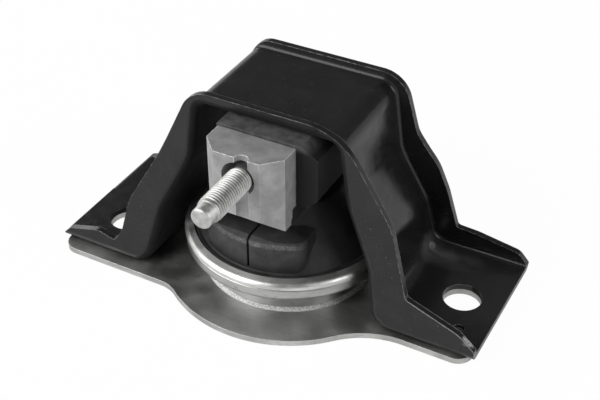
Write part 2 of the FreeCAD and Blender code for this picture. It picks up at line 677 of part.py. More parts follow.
bends(rubber, S["pad_round"], pad_end)
sk = on_plane(rubber, "pad_flat", "YZ_Plane")
flat_y, over_z = -(pad_r - S["pad_flat"]), S["pad_z"] + 0.5
outline(sk, [(flat_y + 0.95, over_z), (flat_y - 5.7, over_z), (flat_y - 5.7, S["pad_z"] - 3.0)])
extrude(rubber, "Pocket", sk, 40.0, back=40.0)
sk = on_plane(rubber, "pad_slit", "XY_Plane", S["pad_z"] + 1.0)
slit_a, slit_b, slit_in, slit_out = S["slit_x"], S["slit_x"] + S["slit"], -(pad_r - 13.0), -(pad_r + 2.0)
outline(sk, [(slit_a, slit_out), (slit_b, slit_out), (slit_b, slit_in), (slit_a, slit_in)])
extrude(rubber, "Pocket", sk, S["slit_deep"] + 1.0)

# ---------------------------------------------------------------- travel stop jacket over the core
jacket = body("stop_jacket")
cw = S["core_w"] + S["jack_clear"]
ceil = S["core_top"] + gap
rear_face, jack_rear = S["core_rear"] + gap, S["core_rear"] + S["jack_back"]
low_z = S["jack_low"]
sk = on_plane(jacket, "jacket_section", "XZ_Plane")
half_run = [(jack_w - 5.0, jack_top, 4.0), (jack_w, jack_top - 4.6, 3.0), (jack_w, low_z)]
outline(sk, mirror(half_run) + half_run + [(cw, low_z), (cw, ceil), (-cw, ceil), (-cw, low_z)])
extrude(jacket, "Pad", sk, S["jack_front"], back=jack_rear)
sk = on_plane(jacket, "jacket_back", "XZ_Plane", -rear_face)
bw, bz = cw + 1.0, ceil + 0.5
outline(sk, [(-bw, low_z), (bw, low_z), (bw, bz), (-bw, bz)])
extrude(jacket, "Pad", sk, jack_rear - rear_face, flip=True)

# ---------------------------------------------------------------- checks and export
doc.recompute()
bad = [o.Name for o in doc.Objects if any(w in o.State for w in ("Invalid", "Error"))]
bodies = [o for o in doc.Objects if o.TypeId == "PartDesign::Body"]
bad += [b.Label for b in bodies if b.Shape.isNull() or not b.Shape.isValid()]
if bad:
    raise RuntimeError("failed: " + ", ".join(bad))
os.makedirs("parts", exist_ok=True)
for b in bodies:
    b.Shape.exportStep("parts/%s.step" % b.Label)
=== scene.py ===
import json
import math

import bpy
from bpy.props import FloatProperty, FloatVectorProperty, IntProperty, PointerProperty
from mathutils import Matrix, Vector


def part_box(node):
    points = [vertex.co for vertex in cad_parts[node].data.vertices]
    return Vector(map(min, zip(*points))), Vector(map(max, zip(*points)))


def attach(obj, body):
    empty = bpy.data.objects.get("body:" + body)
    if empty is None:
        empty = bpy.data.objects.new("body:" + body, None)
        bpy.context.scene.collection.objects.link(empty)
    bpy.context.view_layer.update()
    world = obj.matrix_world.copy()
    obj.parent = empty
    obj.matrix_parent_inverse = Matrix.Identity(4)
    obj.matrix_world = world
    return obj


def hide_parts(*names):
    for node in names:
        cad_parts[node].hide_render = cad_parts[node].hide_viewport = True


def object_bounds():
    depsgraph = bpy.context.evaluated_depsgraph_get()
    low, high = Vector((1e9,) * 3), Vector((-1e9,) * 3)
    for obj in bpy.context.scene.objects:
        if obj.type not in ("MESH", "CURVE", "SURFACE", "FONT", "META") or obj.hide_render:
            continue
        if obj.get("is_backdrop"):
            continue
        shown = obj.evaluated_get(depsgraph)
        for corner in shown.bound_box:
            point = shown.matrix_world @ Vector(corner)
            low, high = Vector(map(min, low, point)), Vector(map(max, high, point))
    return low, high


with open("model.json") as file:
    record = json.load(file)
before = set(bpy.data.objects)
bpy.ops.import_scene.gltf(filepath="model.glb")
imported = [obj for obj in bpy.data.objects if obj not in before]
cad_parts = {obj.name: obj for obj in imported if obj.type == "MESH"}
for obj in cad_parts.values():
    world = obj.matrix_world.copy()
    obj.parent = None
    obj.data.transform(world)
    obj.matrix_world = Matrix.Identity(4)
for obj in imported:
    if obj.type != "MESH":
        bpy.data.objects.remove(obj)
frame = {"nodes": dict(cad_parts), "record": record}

bl_info = {
    "name": "Engine mount",
    "version": (1, 0, 0),
    "blender": (4, 5, 0),
    "location": "3D View > Sidebar > Mount",
    "description": "Finishes, stud thread and stage for a hydraulic engine mount",
    "category": "Object",
}

MM = 0.001
PLAY = 0.05 * MM      # between a piece that is made here and the CAD piece that it fits


def linear(hex_colour):
    """A colour written as sRGB hex, as linear RGBA."""
    out = []
    for k in (1, 3, 5):
        c = int(hex_colour[k:k + 2], 16) / 255.0
        out.append(c / 12.92 if c <= 0.04045 else ((c + 0.055) / 1.055) ** 2.4)
    return (*out, 1.0)


def from_corner(name, x, y, z):
    """A point in mm at these distances from a CAD node's box: positive from its low sides, negative from its high."""
    low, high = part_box(name)
    return [(high[k] if away < 0.0 else low[k]) / MM + away for k, away in enumerate((x, y, z))]


# ------------------------------------------------------------------ settings a user would change
def colour(name, about, default):
    return FloatVectorProperty(name=name, description=about, subtype="COLOR", size=4, min=0.0, max=1.0,
                               default=linear(default))


class FinishSettings(bpy.types.PropertyGroup):
    paint: colour("E-coat", "Black cathodic dip coat on the arch", "#19191a")
    zinc: colour("Zinc", "Passivated zinc plating on the base plate", "#d2d2d0")
    can_zinc: colour("Can zinc", "Plating on the deep-drawn can", "#ececea")
    casting: colour("Casting", "Shot-blasted cast aluminium of the core", "#bcbcbc")
    rubber: colour("Rubber", "Natural rubber filled with carbon black", "#1d1d1d")
    edge_width: FloatProperty(name="Edge wear", description="Width of the thin paint along sheared edges",
                              unit="LENGTH", default=0.5 * MM, precision=5)


class ThreadSettings(bpy.types.PropertyGroup):
    pitch: FloatProperty(name="Pitch", description="Distance between thread crests", unit="LENGTH",
                         default=1.5 * MM, precision=5)
    depth: FloatProperty(name="Depth", description="Height of the rolled thread", unit="LENGTH",
                         default=0.92 * MM, precision=5)
    around: IntProperty(name="Facets", description="Facets round the stud", default=96, min=24, max=192)


class StageSettings(bpy.types.PropertyGroup):
    lens: FloatProperty(name="Lens", description="Focal length on a 36 mm sensor", default=68.37, min=20.0)
    azimuth: FloatProperty(name="Azimuth", description="Camera's turn to the right of the stud", subtype="ANGLE",
                           default=math.radians(28.18))
    elevation: FloatProperty(name="Elevation", description="Camera's height above the floor, as an angle",
                             subtype="ANGLE", default=math.radians(36.97))
    distance: FloatProperty(name="Distance", description="From the camera to the point it looks at",
                            unit="LENGTH", default=0.5)
    aim: FloatVectorProperty(name="Aim", description="Point the camera looks at, from the base mount",
                             subtype="TRANSLATION", unit="LENGTH", size=3, default=(0.02295, -0.03355, 0.0669))
    key: FloatProperty(name="Key light", description="Power of the main softbox", unit="POWER", default=12.5)
    fill: FloatProperty(name="Fill light", description="Power of the side softbox", unit="POWER", default=4.0)
    back: FloatProperty(name="Back light", description="Power of the strip light behind", unit="POWER", default=2.0)
    world: FloatProperty(name="Room light", description="Brightness of the room", default=0.16, min=0.0)


# ------------------------------------------------------------------ nodes
def node(tree, kind, inputs=None, **settings):
    """Adds one node. Settings are its own properties. Inputs are its sockets' values, or the sockets or nodes
    that feed them, where a node stands for its first output."""
    n = tree.nodes.new("ShaderNode" + kind)
    for name, value in settings.items():
        setattr(n, name, value)
    for name, value in (inputs or {}).items():
        if isinstance(value, bpy.types.Node):
            value = value.outputs[0]
        if isinstance(value, bpy.types.NodeSocket):
            tree.links.new(value, n.inputs[name])
        else:
            n.inputs[name].default_value = value
    return n


def new_material(name):
    """An empty node material: the material, its tree and the object's own coordinates in metres."""
    m = bpy.data.materials.new(name)
    m.use_nodes = True
    m.node_tree.nodes.clear()
    return m, m.node_tree, node(m.node_tree, "TexCoord").outputs["Object"]


def finished(m, shader):
    """The material with this shader on its surface."""
    node(m.node_tree, "OutputMaterial", {"Surface": shader})
    return m


def both(tree, *masks):
    """1 only where every mask is 1: their product. A plain number among them sets how much shows at most."""
    whole = masks[0]
    for mask in masks[1:]:
        whole = node(tree, "Math", {0: whole, 1: mask}, operation="MULTIPLY")
    return whole


def either(tree, *masks):
    """1 where any mask is 1: the largest of them."""
    whole = masks[0]
    for mask in masks[1:]:
        whole = node(tree, "Math", {0: whole, 1: mask}, operation="MAXIMUM")
    return whole


def outside(tree, mask):
    """1 where the mask is 0."""
    return node(tree, "Math", {0: 1.0, 1: mask}, operation="SUBTRACT")


def weighed(tree, base, *parts):
    """A base height or roughness with parts added to it, each a pattern and its weight."""
    for pattern, weight in parts:
        base = node(tree, "Math", {0: pattern, 1: weight, 2: base}, operation="MULTIPLY_ADD")
    return base


def layered(tree, base, *layers):
    """A colour with layers laid over it, each a mask, how much of it shows at most, and its colour."""
    for mask, most, top in layers:
        top = linear(top) if isinstance(top, str) else top
        base = node(tree, "Mix", {0: both(tree, mask, most), 6: base, 7: top}, data_type="RGBA").outputs[2]
    return base


def grain(tree, at, size, detail=3.0, rough=0.55, stretch=(1.0, 1.0, 1.0), low=0.0, high=1.0, span=(0.35, 0.65)):
    """Noise with grains this many mm wide, its middle span mapped onto low..high."""
    moved = node(tree, "Mapping", {"Vector": at, "Scale": stretch})
    noise = node(tree, "TexNoise", {"Vector": moved, "Scale": 1.0 / (size * MM), "Detail": detail,
                                    "Roughness": rough})
    return node(tree, "MapRange", {"Value": noise, "From Min": span[0], "From Max": span[1],
                                   "To Min": low, "To Max": high})


def edge_mask(tree, width, sharp=(0.72, 0.985)):
    """1 on edges, up to this width in metres, 0 on the flats: where the rounded normal leaves the true one."""
    soft = node(tree, "Bevel", {"Radius": width}, samples=6)
    true = node(tree, "NewGeometry").outputs["Normal"]
    near = node(tree, "VectorMath", {0: soft, 1: true}, operation="DOT_PRODUCT").outputs["Value"]
    return node(tree, "MapRange", {"Value": near, "From Min": sharp[0], "From Max": sharp[1],
                                   "To Min": 1.0, "To Max": 0.0})


def spot(tree, at, centre, reach, soft=0.4):
    """1 inside an ellipsoid with this centre and reach in mm, 0 outside it, fading over its outer part."""
    scale = [1.0 / (r * MM) for r in reach]
    local = node(tree, "Mapping", {"Vector": at, "Scale": scale,
                                   "Location": [-c * MM * k for c, k in zip(centre, scale)]})
    far = node(tree, "VectorMath", {0: local}, operation="LENGTH").outputs["Value"]
    return node(tree, "MapRange", {"Value": far, "From Min": 1.0 - soft, "From Max": 1.0,
                                   "To Min": 1.0, "To Max": 0.0})


def beyond(tree, at, axis, limit, soft=0.1):
    """1 where this coordinate is beyond limit in mm, 0 before it."""
    place = node(tree, "SeparateXYZ", {"Vector": at}).outputs[axis]
    return node(tree, "MapRange", {"Value": place, "From Min": (limit - soft) * MM, "From Max": (limit + soft) * MM,
                                   "To Min": 0.0, "To Max": 1.0})


def wavering(tree, at, size, throw):
    """Coordinates shaken by noise of this size, up to throw mm either way, so that a mask's edge is ragged."""
    noise = node(tree, "TexNoise", {"Vector": at, "Scale": 1.0 / (size * MM), "Detail": 4.0}).outputs["Color"]
    shift = node(tree, "VectorMath", {0: noise, 1: (0.5, 0.5, 0.5)}, operation="SUBTRACT")
    # noise seldom leaves the middle half of its range, hence four times the throw and not two
    shift = node(tree, "VectorMath", {0: shift, "Scale": 4.0 * throw * MM}, operation="SCALE")
    return node(tree, "VectorMath", {0: at, 1: shift}, operation="ADD")


def round_place(tree, at, arc):
    """Coordinates round the can: arc mm times the angle, the radius and the height, so that marks run with it."""
    xyz = node(tree, "SeparateXYZ", {"Vector": at})
    angle = node(tree, "Math", {0: xyz.outputs["Y"], 1: xyz.outputs["X"]}, operation="ARCTAN2")
    flat = node(tree, "CombineXYZ", {"X": xyz.outputs["X"], "Y": xyz.outputs["Y"]})
    far = node(tree, "VectorMath", {0: flat}, operation="LENGTH").outputs["Value"]
    return node(tree, "CombineXYZ", {"X": both(tree, angle, arc * MM), "Y": far, "Z": xyz.outputs["Z"]})


def bumps(tree, height, distance, strength=1.0, rounded=None):
    """A normal from a height between 0 and 1 that stands for distance mm, on edges rounded to this radius in mm."""
    inputs = {"Height": height, "Distance": distance * MM, "Strength": strength}
    if rounded is not None:
        inputs["Normal"] = node(tree, "Bevel", {"Radius": rounded * MM}, samples=6)
    return node(tree, "Bump", inputs)


# ------------------------------------------------------------------ materials
def e_coated_steel(s):
    """Steel sheet, pressed and dip coated: an even, slightly mottled black, glossy enough to show every bend, with
    painted light on the right foot, painted shade inside, grey streaks, painted highlights, thin and bright on its
    sheared edges."""
    m, t, at = new_material("e_coated_pressed_steel")
    # inside the arch, where the face looks back at the arch's middle plane, shade is painted in near-black and the
    # coat is rougher
    from_middle = node(t, "Mapping", {"Vector": at, "Scale": (1.0, 0.0, 1.0)})
    outward = node(t, "VectorMath", {0: node(t, "NewGeometry").outputs["Normal"], 1: from_middle},
                   operation="DOT_PRODUCT").outputs["Value"]
    painted_shade_inside = node(t, "MapRange", {"Value": outward, "From Min": -20.0 * MM, "From Max": -5.0 * MM,
                                "To Min": 1.0, "To Max": 0.0})
    mottle = grain(t, at, 9.0, 4.0)
    # real dust is far finer: these specks are as coarse as they need to be to show
    dust = grain(t, at, 0.8, 2.0, 0.6, span=(0.71, 0.74))
    # painted light: the right foot lies in the arch's shadow and is painted up to a dark grey
    foot = spot(t, at, from_corner("arch", -24.2, 57.3, 2.95), (42.0, 36.0, 14.0))
    # lighter grey streaks lie in the foot's inner corner, stretched along the bend
    light_corner_streaks = both(t, spot(t, at, from_corner("arch", -41.2, -13.95, 4.45), (26.0, 11.0, 10.0), 0.95),
                grain(t, at, 7.0, 2.0, 0.5, stretch=(0.6, 1.0, 1.0), low=0.3))
    # in this tone the right foot's grey is painted light, and the near-black inside the arch is painted shade
    tone = layered(t, s.paint, (mottle, 1.0, "#202021"), (dust, 0.5, "#8a8a8a"), (foot, 0.45, "#343434"),
                   (light_corner_streaks, 0.55, "#7e7e7e"), (painted_shade_inside, 1.0, "#0e0e0e"))
    # orange peel of the coat, and on bare metal the shears' tearing
    peel = grain(t, at, 0.7, 2.0)
    coat = node(t, "BsdfPrincipled", {
        "Base Color": tone, "IOR": 1.5, "Specular IOR Level": 0.4,
        "Roughness": weighed(t, grain(t, at, 5.0, 3.0, low=0.16, high=0.27), (painted_shade_inside, 0.6)),
        "Normal": bumps(t, peel, 0.02, 0.4, rounded=0.35)})
    bare = node(t, "BsdfPrincipled", {
        "Base Color": linear("#cfcfcd"), "Metallic": 0.6, "Roughness": 0.5,
        "Normal": bumps(t, peel, 0.05, 0.8, rounded=0.35)})
    thin = both(t, edge_mask(t, s.edge_width), grain(t, at, 3.4, 4.0, 0.7, span=(0.40, 0.60)), 0.7)
    # the flange over the right foot was dressed after coating: its cut edge is bare nearly all along
    burr = both(t, edge_mask(t, 2.0 * s.edge_width),
                spot(t, at, from_corner("arch", -18.2, 14.3, 14.95), (26.0, 10.0, 20.0)),
                grain(t, at, 2.0, 3.0, low=0.5, span=(0.40, 0.50)))
    chips = grain(t, at, 1.2, 3.0, low=0.3, span=(0.40, 0.55))
    # bare light-grey metal: a knock at the flange's end, and painted highlights at the web's foot and in the valley
    # behind it
    knocks = [both(t, spot(t, at, from_corner("arch", *place), reach), chips, depth) for place, reach, depth in (
        ((-4.7, 15.3, 8.45), (4.2, 2.0, 3.8), 0.85),
        ((-48.2, 47.1, 17.75), (2.0, 3.0, 3.0), 0.5),
        ((-47.2, -11.45, 3.45), (2.4, 3.4, 3.0), 0.45))]
    return finished(m, node(t, "MixShader", {0: either(t, thin, burr, *knocks), 1: coat, 2: bare}))


def zinc_plated_sheet(s):
    """Rolled steel sheet, sheared and zinc plated: satin grey with faint rolling streaks, brighter on its edges."""
    m, t, at = new_material("zinc_plated_rolled_sheet")
    streaks = grain(t, at, 1.2, stretch=(0.06, 1.0, 1.0))
    stains = grain(t, at, 3.0, 5.0, 0.7, span=(0.62, 0.72))
    tone = layered(t, linear("#a8a8a6"), (grain(t, at, 22.0, 4.0), 1.0, s.zinc), (streaks, 0.2, "#8c8c8a"),
                   (stains, 0.5, "#5c5c5a"), (edge_mask(t, 0.6 * MM), 1.0, "#dededc"))
    zinc = node(t, "BsdfPrincipled", {
        "Base Color": tone, "Metallic": 1.0, "Roughness": grain(t, at, 12.0, 4.0, low=0.40, high=0.55),
        "Normal": bumps(t, streaks, 0.01, 0.5, rounded=0.3)})
    # the pips stand in the arch's small holes and were coated black with it; their lighter grey is painted light on
    # their lit floors
    coat = node(t, "BsdfPrincipled", {"Base Color": linear("#454545"), "Roughness": 0.4})
    pips = beyond(t, at, "Z", from_corner("arch", 0.0, 0.0, 0.15)[2])
    return finished(m, node(t, "MixShader", {0: pips, 1: zinc, 2: coat}))


def zinc_plated_can(s):
    """Deep-drawn steel, zinc plated, its lip rolled over: bright, with drawing lines and small dark knocks."""
    m, t, at = new_material("zinc_plated_drawn_steel")
    around = round_place(t, at, 50.0)
    lines = grain(t, around, 0.5, stretch=(0.03, 1.0, 1.0))
    knocks = grain(t, around, 2.4, 5.0, 0.75, stretch=(0.5, 1.0, 1.0), span=(0.60, 0.70))
    # the band and neck under the lip are a darker grey than the lip
    lip = beyond(t, at, "Z", from_corner("can", 0.0, 0.0, -3.9)[2], 0.4)
    tone = layered(t, linear("#cacac8"), (grain(t, around, 9.0, 4.0, stretch=(0.5, 1.0, 1.0)), 1.0, s.can_zinc),
                   (lines, 0.2, "#8e8e8c"), (outside(t, lip), 0.45, "#8a8a88"), (knocks, 0.45, "#5a5a58"))
    return finished(m, node(t, "BsdfPrincipled", {
        "Base Color": tone, "Metallic": 1.0,
        "Roughness": weighed(t, grain(t, around, 6.0, low=0.32, high=0.44), (knocks, 0.15)),
        "Normal": bumps(t, weighed(t, 0.0, (lines, 0.3), (knocks, -1.0)), 0.06, 0.6)}))


def staked_zinc():
    """Plated steel pressed into a seam by a toothed punch: matt, and speckled light and dark."""
    m, t, at = new_material("staked_zinc_seam")
    marks = grain(t, round_place(t, at, 43.0), 0.7, 4.0, 0.7, span=(0.35, 0.62))
    return finished(m, node(t, "BsdfPrincipled", {
        "Base Color": layered(t, linear("#989896"), (marks, 1.0, "#e4e4e2")), "Metallic": 0.8,
        "Roughness": 0.6, "Normal": bumps(t, marks, 0.08, 0.7)}))


def cast_aluminium(s):
    """Die-cast aluminium, shot blasted: an even light grey with fine pits and bright flash on its top edges."""
    m, t, at = new_material("shot_blasted_cast_aluminium")
    # real shot leaves dents of about 0.1 mm: these are as coarse as they need to be to show
    blast = grain(t, at, 0.35, 3.0, 0.7)
    pits = grain(t, at, 0.9, 3.0, 0.6, span=(0.68, 0.72))
    side, behind, creep_top = from_corner("core", -2.2, 14.5, 28.0)
    parting = from_corner("core", 0.0, 0.0, -2.9)[2]
    flash = both(t, edge_mask(t, 0.8 * MM, (0.80, 0.99)), grain(t, at, 1.6, low=0.35, span=(0.42, 0.55)),
                 either(t, beyond(t, at, "Z", parting, 0.5), 0.25))
    tone = layered(t, linear("#a8a8a8"), (grain(t, at, 7.0, 4.0), 1.0, s.casting), (pits, 0.7, "#3c3c3c"),
                   (flash, 1.0, "#ffffff"))
    casting = node(t, "BsdfPrincipled", {
        "Base Color": tone, "Metallic": 1.0, "Roughness": 0.74,
        "Normal": bumps(t, weighed(t, 0.0, (blast, 0.4), (pits, -1.0)), 0.06, 0.5, rounded=0.3)})
    # rubber that crept up the block's right side in the mould, with a ragged edge
    ragged = wavering(t, at, 5.0, 1.6)
    crept = both(t, beyond(t, at, "X", side), beyond(t, ragged, "Y", behind, 0.2),
                 outside(t, beyond(t, ragged, "Z", creep_top, 0.2)))
    film = node(t, "BsdfPrincipled", {"Base Color": linear("#222222"), "Roughness": 0.6,
                                      "Specular IOR Level": 0.3})
    return finished(m, node(t, "MixShader", {0: crept, 1: casting, 2: film}))


def moulded_rubber(s):
    """Carbon-filled natural rubber, moulded: matt near-black, dusty on its edges, high spots and front pad, with
    painted sheen on the pad's top band.
    """
    m, t, at = new_material("moulded_black_rubber")
    scuffs = grain(t, at, 1.8, 5.0, 0.75, span=(0.60, 0.72))
    x, y, rim = from_corner("rubber_spring", 51.57, 4.58, 19.05)
    # talc and road dust lie on the pad; a lighter band along its top edge is dust and painted sheen of its lit top
    # face
    pad = both(t, spot(t, at, (x, y, rim), (30.0, 15.0, 14.0)), grain(t, at, 5.0, 4.0, low=0.4))
    dust_and_sheen_band = both(t, beyond(t, at, "Z", rim, 0.5), outside(t, beyond(t, at, "Z", rim + 2.6, 0.4)), pad,
                grain(t, at, 0.8, 4.0, 0.7, low=0.2, span=(0.45, 0.60)))
    tone = layered(t, s.rubber, (grain(t, at, 8.0, 4.0), 1.0, "#2b2b2b"), (scuffs, 0.4, "#4a4a4a"),
                   (edge_mask(t, 0.5 * MM), 0.4, "#4a4a4a"), (pad, 0.6, "#4a4a4a"), (dust_and_sheen_band, 1.0, "#7c7c7c"))
    return finished(m, node(t, "BsdfPrincipled", {
        "Base Color": tone, "IOR": 1.52, "Specular IOR Level": 0.3,
        "Roughness": grain(t, at, 4.0, low=0.5, high=0.68),
        "Normal": bumps(t, grain(t, at, 0.6, 4.0, 0.7), 0.05, 0.6, rounded=0.5)}))


def jacket_rubber():
    """The same rubber, near-black with painted shade under the arch, and grey with painted light on its flat top."""
    m, t, at = new_material("stop_jacket_rubber")
    flat_top = beyond(t, at, "Z", from_corner("stop_jacket", 0.0, 0.0, -2.0)[2], 1.5)
    # painted light: the lit flat top is painted grey
    dust = both(t, flat_top, grain(t, at, 4.0, 4.0, low=0.45))
    rim = both(t, edge_mask(t, 0.7 * MM), grain(t, at, 1.5, low=0.3))
    # the near-black base colour is painted shade, darker than the spring's rubber
    return finished(m, node(t, "BsdfPrincipled", {
        "Base Color": layered(t, linear("#151515"), (dust, 1.0, "#5a5a5a"), (rim, 1.0, "#4c4c4c")),
        "Specular IOR Level": 0.25, "Roughness": 0.62,
        "Normal": bumps(t, grain(t, at, 0.9, 4.0, 0.7), 0.06, 0.6, rounded=0.8)}))


def rolled_thread_steel(pin, crest, depth):
    """Cold-rolled steel, zinc plated: bright crests with small handling marks, painted shade and grime in the
    thread's roots.
    """
    m, t, at = new_material("zinc_plated_rolled_thread")
    marks = grain(t, at, 0.5, 4.0, 0.7, span=(0.56, 0.68))
    axis = Vector(pin["pos_m"])
    across = node(t, "Mapping", {"Vector": at, "Location": (-axis.x, 0.0, -axis.z), "Scale": (1.0, 0.0, 1.0)})
    far = node(t, "VectorMath", {0: across}, operation="LENGTH").outputs["Value"]
    sunk = node(t, "MapRange", {"Value": far, "From Min": crest - 0.9 * depth, "From Max": crest - 0.35 * depth,
                                "To Min": 1.0, "To Max": 0.0})
    # painted shade and grime in the roots start where the thread does, behind the dog point
    thread_end = axis.y / MM - pin["dims"]["length_mm"] / 2.0
    roots = both(t, sunk, beyond(t, at, "Y", thread_end + 0.25, 0.5))
    tone = layered(t, linear("#b4b4b2"), (grain(t, at, 3.0), 1.0, "#d2d2d0"), (marks, 0.4, "#7a7a78"),
                   (roots, 0.85, "#3a3a38"))
    return finished(m, node(t, "BsdfPrincipled", {
        "Base Color": tone, "Metallic": 1.0, "Roughness": grain(t, at, 1.5, low=0.42, high=0.54),
        "Normal": bumps(t, marks, 0.02, 0.6)}))


def turned_metal(name, hue):
    """Plain metal inside the can, turned or stamped: fine rings round the axis under a thin film of fluid."""
    m, t, at = new_material(name)
    rings = grain(t, round_place(t, at, 40.0), 0.4, 2.0, stretch=(0.02, 1.0, 1.0))
    return finished(m, node(t, "BsdfPrincipled", {
        "Base Color": layered(t, linear(hue), (rings, 0.3, "#6e6e6e")), "Metallic": 1.0,
        "Roughness": grain(t, at, 5.0, low=0.3, high=0.45), "Normal": bumps(t, rings, 0.01, 0.5)}))


def matt_white_board():
    """White painted board: plain white to the eye and half so in reflections, with a soft shadow left in it."""
    m, t, at = new_material("matt_white_board")
    board = node(t, "BsdfDiffuse", {"Color": layered(t, linear("#f0f0f0"), (grain(t, at, 60.0), 1.0, "#f6f6f6")),
                                    "Roughness": 0.6})
    white = node(t, "Emission", {"Color": linear("#ffffff"), "Strength": 1.0})
    ray = node(t, "LightPath")
    seen = either(t, both(t, ray.outputs["Is Camera Ray"], 0.97), both(t, ray.outputs["Is Glossy Ray"], 0.5))
    return finished(m, node(t, "MixShader", {0: seen, 1: board, 2: white}))


# ------------------------------------------------------------------ meshes
def finish_nodes(material, *names):
    """Gives CAD nodes their material."""
    for name in names:
        slots = frame["nodes"][name].data.materials
        slots.clear()
        slots.append(material)


def new_object(name, verts, faces, material, smooth=False, place=Matrix.Identity(4)):
    """An object from a mesh's corners and faces."""
    mesh = bpy.data.meshes.new(name)
    mesh.from_pydata(verts, [], faces)
    mesh.transform(place)
    mesh.update()
    mesh.polygons.foreach_set("use_smooth", [smooth] * len(mesh.polygons))
    mesh.materials.append(material)
    obj = bpy.data.objects.new(name, mesh)
    bpy.context.scene.collection.objects.link(obj)
    return obj


def lathe(name, rows, around, place, material, lid=True):
    """A surface from rows of (height, radius or radius at an angle), turned about local Z. A flat face closes its
    first row, and its last row too where it has a lid."""
    verts = []
    for z, radius in rows:
        for k in range(around):
            a = 2.0 * math.pi * k / around
            r = radius(a) if callable(radius) else radius
            verts.append((r * math.cos(a), r * math.sin(a), z))
    hoops = [range(i * around, (i + 1) * around) for i in range(len(rows))]
    faces = []
    for low, high in zip(hoops, hoops[1:]):
        for k in range(around):
            k2 = (k + 1) % around
            faces.append((low[k], low[k2], high[k2], high[k]))
    faces.append(tuple(reversed(hoops[0])))
    if lid:
        faces.append(tuple(hoops[-1]))
    return new_object(name, verts, faces, material, True, place)


def stud_rows(size, pin, crest):
    """The stud's rows along its axis, from its end in the core to its tip: collar, undercut, thread, dog point."""
    low, high = (Vector(v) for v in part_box("stud"))
    centre = Vector(pin["pos_m"])
    tip, root = centre.y - low.y, centre.y - high.y    # both along the stud, from the middle of its thread
    end = pin["dims"]["length_mm"] * MM / 2.0
    start = -end
    collar, undercut, dog = 7.18 * MM, 5.6 * MM, 5.0 * MM

    def thread(z):
        """The radius round the stud at z: a rolled V with flat crests and roots that runs out at both ends."""
        fade = min(1.0, max(0.0, (end - z) / (1.2 * size.pitch)), max(0.0, (z - start) / size.pitch))

        def radius(a):
            turn = (z / size.pitch + a / (2.0 * math.pi)) % 1.0
            wave = min(1.0, max(0.0, (abs(2.0 * turn - 1.0) - 0.10) / 0.80))
            return crest - size.depth * wave * fade - (1.0 - fade) * 0.35 * size.depth
        return radius

    def knurl(a):
        """36 rounded teeth, 0.25 mm deep."""
        return collar - 0.25 * MM * (0.5 - 0.5 * math.cos(36 * a))
    rows = [(root, collar - 0.6 * MM), (root + 0.6 * MM, knurl), (root + 21.2 * MM, knurl),
            (root + 22.0 * MM, collar - 0.7 * MM), (root + 22.01 * MM, undercut), (start - 0.4 * MM, undercut)]
    steps = int(round((end - start) / size.pitch * 14))
    heights = [start + (end - start) * i / steps for i in range(steps + 1)]
    rows += [(z, thread(z)) for z in heights]
    # the dog point: (how far before the tip, how far inside its radius), ending in a slightly domed face
    rows += [(end + 0.3 * MM, dog + 0.25 * MM), (end + 0.9 * MM, dog)]
    rows += [(tip - back * MM, dog - inside * MM) for back, inside in (
        (0.9, 0.1), (0.4, 0.3), (0.12, 0.7), (0.04, 1.8), (0.0, 3.6), (0.0, 4.6))]
    return rows


def bead_rows(plate_face):
    """The rows of the seam round the can's neck, above the plate: a low disc with a toothed outer side."""
    wall = frame["nodes"]["can"].data.vertices
    neck = max(math.hypot(v.co.x, v.co.y) for v in wall if v.co.z < plate_face + 1.0 * MM)

    def teeth(a):
        return 0.06 * MM * (math.sin(172 * a) + 0.5 * math.sin(61 * a + 1.0) + 0.4 * math.sin(97 * a + 2.0))
    return [(0.0, neck - 0.2 * MM), (0.02 * MM, lambda a: neck + 1.9 * MM + teeth(a)),
            (0.3 * MM, lambda a: neck + 1.6 * MM + teeth(a)), (0.8 * MM, lambda a: neck + 0.9 * MM + teeth(a)),
            (1.3 * MM, neck + 0.35 * MM), (1.6 * MM, neck - 0.2 * MM)]


def jacket_hood(material):
    """A hood over the core's rear: a skin on its left side, a thick chamfered buffer on its right."""
    low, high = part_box("stop_jacket")
    core_low, core_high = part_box("core")
    skin, chamfer, slope = 0.7 * MM, 5.0 * MM, 5.6 * MM
    left, right, inner = core_low[0] - skin, high[0] - 0.2 * MM, core_high[0] + PLAY
    bottom, top, under = low[2] + 1.0 * MM, high[2], core_high[2] + PLAY
    wall = [(left, bottom), (left, top - skin), (left + skin, top), (right - 8.0 * MM, top), (right, top - chamfer),
            (right, bottom + slope), (right - slope, bottom)]
    hood = wall + [(inner, bottom), (inner, under), (core_low[0] - PLAY, under), (core_low[0] - PLAY, bottom)]
    back = core_high[1] + PLAY
    verts, faces = [], []
    for outline, front, rear in ((hood, low[1], back), (wall, back, high[1])):
        n, start = len(outline), len(verts)
        verts += [(x, y, z) for y in (front, rear) for x, z in outline]
        faces += [tuple(start + k for k in range(n)), tuple(start + n + k for k in reversed(range(n)))]
        faces += [(start + (k + 1) % n, start + k, start + n + k, start + n + (k + 1) % n) for k in range(n)]
    return new_object("jacket_hood", verts, faces, material)


# ------------------------------------------------------------------ pieces
class MOUNT_OT_arch(bpy.types.Operator):
    """Coats the arch in black dip paint, thin on its sheared edges."""
    bl_idname = "mount.arch"
    bl_label = "Arch"

    def execute(self, context):
        finish_nodes(e_coated_steel(context.scene.mount_finish), "arch")
        return {"FINISHED"}


class MOUNT_OT_base_plate(bpy.types.Operator):
    """Plates the base plate in zinc."""
    bl_idname = "mount.base_plate"
    bl_label = "Base plate"

    def execute(self, context):
        finish_nodes(zinc_plated_sheet(context.scene.mount_finish), "base_plate")
        return {"FINISHED"}


